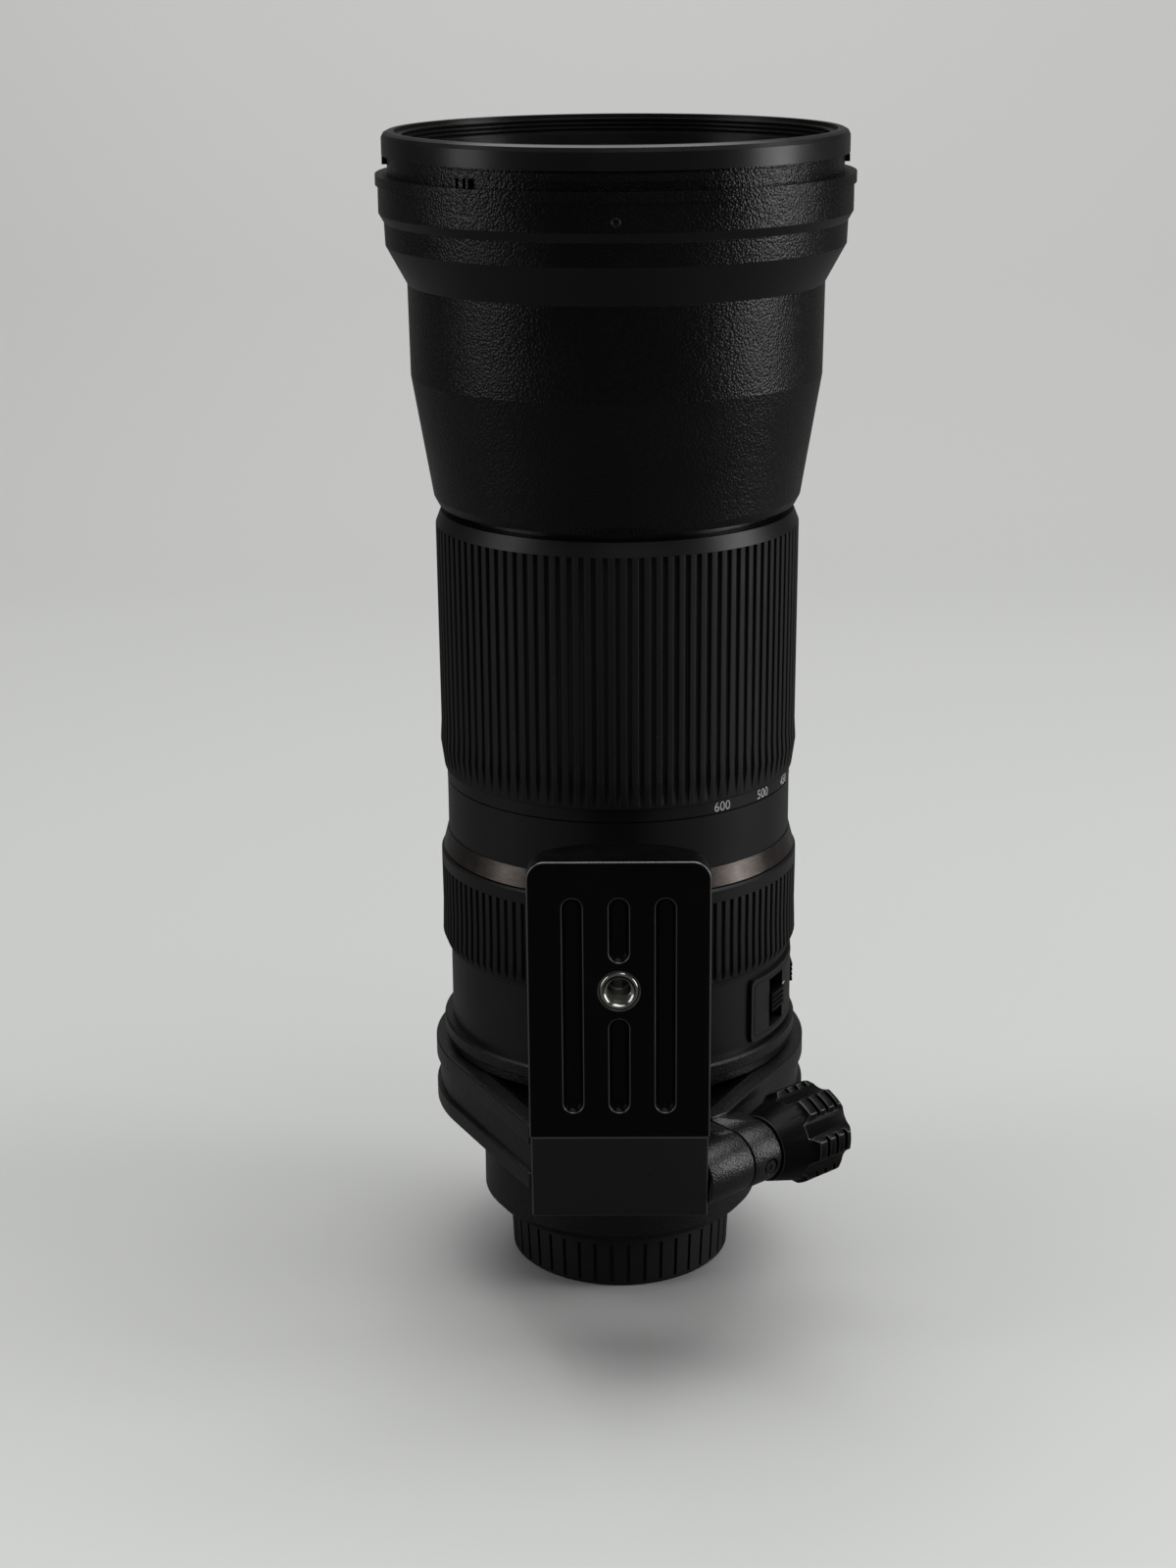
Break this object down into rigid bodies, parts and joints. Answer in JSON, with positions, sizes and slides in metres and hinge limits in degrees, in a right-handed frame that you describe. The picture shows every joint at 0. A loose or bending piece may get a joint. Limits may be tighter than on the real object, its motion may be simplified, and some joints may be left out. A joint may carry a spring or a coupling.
{
  "type": "camera zoom lens",
  "caption": "Long camera zoom lens with ribbed zoom and focus rings, flared front, slide switches and a hinged tripod collar with knob and foot, standing on its rear cap.",
  "frame": {"origin": "centre of the rear cap's underside, where the lens stands", "axes": "+Z along the optical axis towards the front glass, -Y towards the tripod foot, +X towards the clamp knob and the switches"},
  "size_m": [0.1058, 0.1269, 0.2684],
  "materials": {
    "cap_plastic": "satin",
    "screw_steel": "satin",
    "mount_steel": "satin",
    "contact_plastic": "matte",
    "crinkle_metal": "fine crinkle",
    "barrel_plastic": "satin",
    "switch_plastic": "satin",
    "window_plastic": "clear",
    "scale_plastic": "matte",
    "accent_metal": "brushed brown",
    "grip_rubber": "matte",
    "motor_steel": "satin",
    "board": "matte",
    "inner_metal": "black anodised",
    "cell_plastic": "matte",
    "lens_glass": "coated",
    "ring_gloss": "semi-gloss",
    "knob_plastic": "satin",
    "foot_metal": "semi-gloss",
    "bush_steel": "bright",
    "blade_steel": "matte"
  },
  "bodies": {
    "fixed_barrel": {"mount_plate": "mount_steel", "mount_screws": "screw_steel", "contact_block": "contact_plastic", "rear_barrel": "crinkle_metal", "switch_barrel": "barrel_plastic", "switch_panel": "switch_plastic", "distance_window": "window_plastic", "middle_barrel": "barrel_plastic", "accent_ring": "accent_metal", "guide_tube": "inner_metal", "rear_cell": "cell_plastic", "rear_element": "lens_glass", "main_board": "board", "motor_stator": "motor_steel", "stabilizer_frame": "cell_plastic", "iris_base": "cell_plastic"},
    "zoom": {"zoom_ring": "barrel_plastic", "zoom_grip": "grip_rubber", "cam_tube": "inner_metal"},
    "front": {"front_barrel": "crinkle_metal", "extension_sleeve": "inner_metal", "front_followers": "screw_steel", "hood_ring": "crinkle_metal", "filter_ring": "ring_gloss", "front_cell": "cell_plastic", "front_element": "lens_glass", "front_retainer": "ring_gloss"},
    "variator": {"variator_cell": "cell_plastic", "variator_element": "lens_glass"},
    "focus": {"focus_ring": "barrel_plastic", "focus_grip": "grip_rubber", "motor_rotor": "motor_steel", "distance_scale": "scale_plastic"},
    "focus_group": {"focus_cell": "cell_plastic", "focus_element": "lens_glass"},
    "stabilizer": {"stabilizer_cell": "cell_plastic", "stabilizer_element": "lens_glass"},
    "iris_drive": {"iris_ring": "cell_plastic"},
    "stabilizer_button": {"stabilizer_switch": "switch_plastic"},
    "focus_mode_button": {"focus_mode_switch": "switch_plastic"},
    "focus_limit_button": {"focus_limit_switch": "switch_plastic"},
    "zoom_lock": {"zoom_lock_switch": "barrel_plastic"},
    "collar": {"collar_body": "crinkle_metal", "tripod_foot": "foot_metal", "tripod_bush": "bush_steel", "hinge_pin": "screw_steel"},
    "arm": {"collar_arm": "crinkle_metal", "arm_screw": "screw_steel"},
    "stud": {"clamp_stud": "screw_steel"},
    "knob": {"clamp_knob": "knob_plastic"},
    "cap": {"rear_cap": "cap_plastic"},
    "blade_1": {"iris_blade_1": "blade_steel"},
    "blade_2": {"iris_blade_2": "blade_steel"},
    "blade_3": {"iris_blade_3": "blade_steel"},
    "blade_4": {"iris_blade_4": "blade_steel"},
    "blade_5": {"iris_blade_5": "blade_steel"},
    "blade_6": {"iris_blade_6": "blade_steel"},
    "blade_7": {"iris_blade_7": "blade_steel"},
    "blade_8": {"iris_blade_8": "blade_steel"},
    "blade_9": {"iris_blade_9": "blade_steel"}
  },
  "joints": [
    {"name": "zoom_turn", "type": "hinge", "parent": "fixed_barrel", "child": "zoom", "pos_m": [0, 0, 0.153], "axis": [0, 0, 1], "range_deg": [0, 145]},
    {"name": "front_extend", "type": "slide", "parent": "fixed_barrel", "child": "front", "axis": [0, 0, 1], "range_m": [0, 0.078]},
    {"name": "variator_move", "type": "slide", "parent": "fixed_barrel", "child": "variator", "axis": [0, 0, 1], "range_m": [0, 0.024]},
    {"name": "focus_turn", "type": "hinge", "parent": "fixed_barrel", "child": "focus", "pos_m": [0, 0, 0.09], "axis": [0, 0, 1], "range_deg": [0, 120]},
    {"name": "focus_group_move", "type": "slide", "parent": "fixed_barrel", "child": "focus_group", "axis": [0, 0, 1], "range_m": [0, 0.009]},
    {"name": "stabilizer_shift", "type": "slide", "parent": "fixed_barrel", "child": "stabilizer", "axis": [1, 0, 0], "range_m": [-0.001, 0.001]},
    {"name": "iris_close", "type": "hinge", "parent": "fixed_barrel", "child": "iris_drive", "pos_m": [0, 0, 0.095], "axis": [0, 0, 1], "range_deg": [0, 40]},
    {"name": "blade_1_swing", "type": "hinge", "parent": "fixed_barrel", "child": "blade_1", "pos_m": [0.0272, 0, 0.095], "axis": [0, 0, 1], "range_deg": [0, 24]},
    {"name": "blade_2_swing", "type": "hinge", "parent": "fixed_barrel", "child": "blade_2", "pos_m": [0.02084, 0.01748, 0.095], "axis": [0, 0, 1], "range_deg": [0, 24]},
    {"name": "blade_3_swing", "type": "hinge", "parent": "fixed_barrel", "child": "blade_3", "pos_m": [0.00472, 0.02679, 0.095], "axis": [0, 0, 1], "range_deg": [0, 24]},
    {"name": "blade_4_swing", "type": "hinge", "parent": "fixed_barrel", "child": "blade_4", "pos_m": [-0.0136, 0.02356, 0.095], "axis": [0, 0, 1], "range_deg": [0, 24]},
    {"name": "blade_5_swing", "type": "hinge", "parent": "fixed_barrel", "child": "blade_5", "pos_m": [-0.02556, 0.0093, 0.095], "axis": [0, 0, 1], "range_deg": [0, 24]},
    {"name": "blade_6_swing", "type": "hinge", "parent": "fixed_barrel", "child": "blade_6", "pos_m": [-0.02556, -0.0093, 0.095], "axis": [0, 0, 1], "range_deg": [0, 24]},
    {"name": "blade_7_swing", "type": "hinge", "parent": "fixed_barrel", "child": "blade_7", "pos_m": [-0.0136, -0.02356, 0.095], "axis": [0, 0, 1], "range_deg": [0, 24]},
    {"name": "blade_8_swing", "type": "hinge", "parent": "fixed_barrel", "child": "blade_8", "pos_m": [0.00472, -0.02679, 0.095], "axis": [0, 0, 1], "range_deg": [0, 24]},
    {"name": "blade_9_swing", "type": "hinge", "parent": "fixed_barrel", "child": "blade_9", "pos_m": [0.02084, -0.01748, 0.095], "axis": [0, 0, 1], "range_deg": [0, 24]},
    {"name": "stabilizer_select", "type": "slide", "parent": "fixed_barrel", "child": "stabilizer_button", "axis": [0, 0, 1], "range_m": [-0.0032, 0.0032]},
    {"name": "focus_mode_select", "type": "slide", "parent": "fixed_barrel", "child": "focus_mode_button", "axis": [0, 0, 1], "range_m": [-0.0032, 0.0032]},
    {"name": "focus_limit_select", "type": "slide", "parent": "fixed_barrel", "child": "focus_limit_button", "axis": [0, 0, 1], "range_m": [-0.0032, 0.0032]},
    {"name": "zoom_lock_select", "type": "slide", "parent": "fixed_barrel", "child": "zoom_lock", "axis": [0, 0, 1], "range_m": [0, 0.0024]},
    {"name": "collar_turn", "type": "hinge", "parent": "fixed_barrel", "child": "collar", "pos_m": [0, 0, 0.04825], "axis": [0, 0, 1], "continuous": true},
    {"name": "arm_open", "type": "hinge", "parent": "collar", "child": "arm", "pos_m": [-0.03873, 0.01725, 0.04825], "axis": [0, 0, 1], "range_deg": [0, 40]},
    {"name": "stud_draw", "type": "slide", "parent": "arm", "child": "stud", "axis": [0.7431, 0.6691, 0], "range_m": [0, 0.0024]},
    {"name": "knob_turn", "type": "hinge", "parent": "stud", "child": "knob", "pos_m": [0.0253, -0.0579, 0.04825], "axis": [0.7431, 0.6691, 0], "range_deg": [0, 1080]},
    {"name": "cap_twist", "type": "hinge", "parent": "fixed_barrel", "child": "cap", "pos_m": [0, 0, 0.005], "axis": [0, 0, -1], "range_deg": [0, 60]}
  ],
  "couplings": [
    {"joint": "front_extend", "follows": "zoom_turn", "m_per_rad": 0.03082},
    {"joint": "variator_move", "follows": "zoom_turn", "m_per_rad": 0.009483},
    {"joint": "focus_group_move", "follows": "focus_turn", "m_per_rad": 0.004297},
    {"joint": "stud_draw", "follows": "knob_turn", "m_per_rad": 0.00012732},
    {"joint": "blade_1_swing", "follows": "iris_close", "ratio": 0.6},
    {"joint": "blade_2_swing", "follows": "iris_close", "ratio": 0.6},
    {"joint": "blade_3_swing", "follows": "iris_close", "ratio": 0.6},
    {"joint": "blade_4_swing", "follows": "iris_close", "ratio": 0.6},
    {"joint": "blade_5_swing", "follows": "iris_close", "ratio": 0.6},
    {"joint": "blade_6_swing", "follows": "iris_close", "ratio": 0.6},
    {"joint": "blade_7_swing", "follows": "iris_close", "ratio": 0.6},
    {"joint": "blade_8_swing", "follows": "iris_close", "ratio": 0.6},
    {"joint": "blade_9_swing", "follows": "iris_close", "ratio": 0.6}
  ]
}
